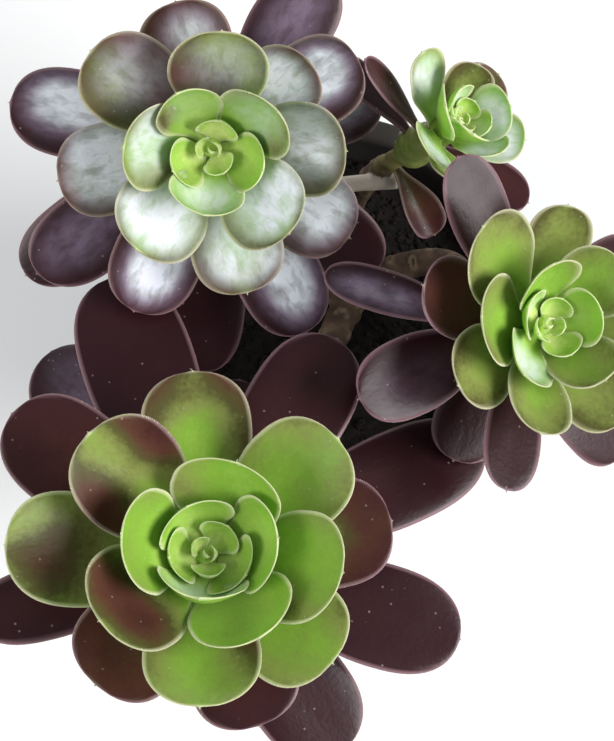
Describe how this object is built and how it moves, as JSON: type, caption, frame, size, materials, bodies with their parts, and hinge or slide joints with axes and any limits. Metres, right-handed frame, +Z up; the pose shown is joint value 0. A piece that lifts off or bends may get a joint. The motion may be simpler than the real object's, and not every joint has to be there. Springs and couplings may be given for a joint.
{
  "type": "potted aeonium",
  "caption": "Branching tree houseleek with spoon-leaved rosettes, green at the heart and dark purple outside, growing in a plain round tapered charcoal clay pot filled with soil.",
  "frame": {"origin": "middle of the pot's flat underside", "axes": "+Z up; the side seen nearest in the picture faces -Y, and +X is to the right there"},
  "size_m": [0.2476, 0.2763, 0.2668],
  "materials": {
    "clay": "unglazed charcoal clay, matt, nearly black, with a faint salt bloom",
    "soil": "dark crumbly potting soil",
    "bark": "grey-brown woody stem with leaf scars",
    "green_leaf": "smooth waxy green leaf with pale hairy rim",
    "purple_leaf": "glossy dark purple leaf with pale hairy rim"
  },
  "bodies": {
    "root": {"pot": "clay", "soil": "soil", "stem": "bark", "hanging_leaf": "purple_leaf", "rosette_front_green": "green_leaf", "rosette_front_purple": "purple_leaf", "rosette_back_green": "green_leaf", "rosette_back_purple": "purple_leaf", "rosette_right_green": "green_leaf", "rosette_right_purple": "purple_leaf", "rosette_small_green": "green_leaf", "rosette_small_purple": "purple_leaf"}
  },
  "joints": []
}
